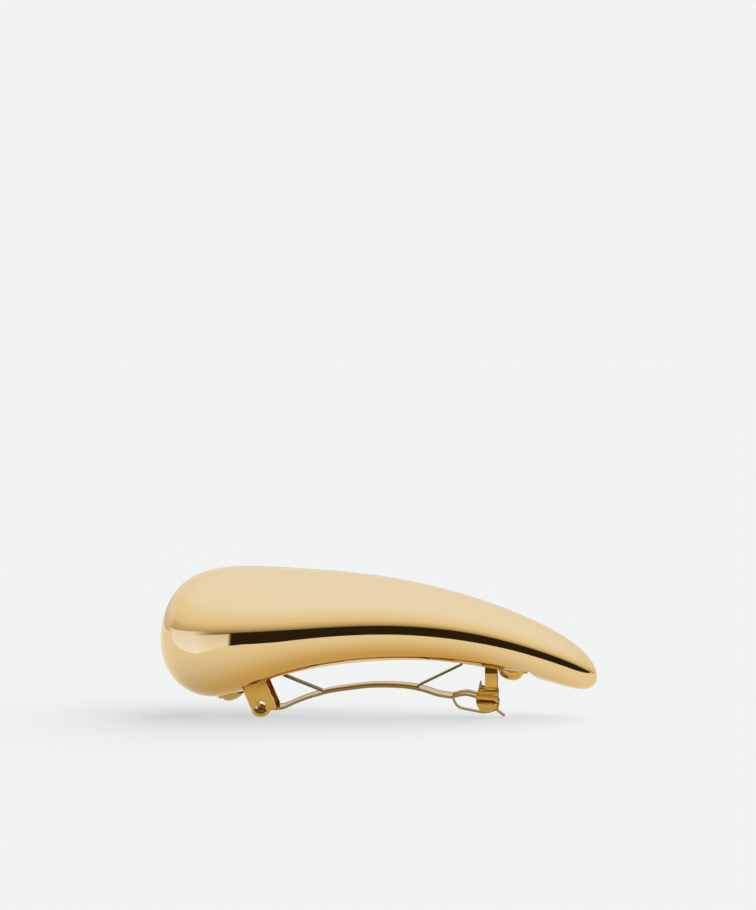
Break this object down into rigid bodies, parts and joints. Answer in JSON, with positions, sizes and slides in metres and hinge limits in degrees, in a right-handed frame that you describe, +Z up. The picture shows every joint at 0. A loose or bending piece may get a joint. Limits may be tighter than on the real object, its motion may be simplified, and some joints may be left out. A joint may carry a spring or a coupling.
{
  "type": "hair clip",
  "caption": "Arched hollow drop-shaped barrette on a riveted clasp with a hinged tongue, a bow spring and a squeeze latch.",
  "frame": {"origin": "middle of the bounding box at its base, on the surface that the closed clip stands on", "axes": "+X from the bulb to the toe, along the clip's length; +Y across it, square to its plane of symmetry; +Z up"},
  "size_m": [0.09, 0.0298, 0.0307],
  "materials": {
    "polished_gold": "mirror-polished gold plating",
    "stamped_gold": "bright gold-plated stamped strip",
    "rivet_gold": "gold-plated rivet"
  },
  "bodies": {
    "clip": {"front_shell": "polished_gold", "back_plate": "polished_gold", "base_plate": "stamped_gold", "bow_spring": "stamped_gold", "latch_bridge": "stamped_gold", "rivet_hinge_end": "rivet_gold", "rivet_latch_end": "rivet_gold"},
    "tongue": {"tongue": "stamped_gold"},
    "prong_near": {"latch_prong_near": "stamped_gold"},
    "prong_far": {"latch_prong_far": "stamped_gold"}
  },
  "joints": [
    {"name": "tongue_hinge", "type": "hinge", "parent": "clip", "child": "tongue", "pos_m": [-0.02387, 0, 0.00215], "axis": [0, 1, 0], "range_deg": [0, 105]},
    {"name": "prong_near_squeeze", "type": "hinge", "parent": "clip", "child": "prong_near", "pos_m": [0.02355, -0.0017, 0.00917], "axis": [1, 0, 0], "range_deg": [0, 4.5], "stiffness_Nm_per_rad": 0.2},
    {"name": "prong_far_squeeze", "type": "hinge", "parent": "clip", "child": "prong_far", "pos_m": [0.02355, 0.0017, 0.00917], "axis": [-1, 0, 0], "range_deg": [0, 4.5], "stiffness_Nm_per_rad": 0.2}
  ]
}
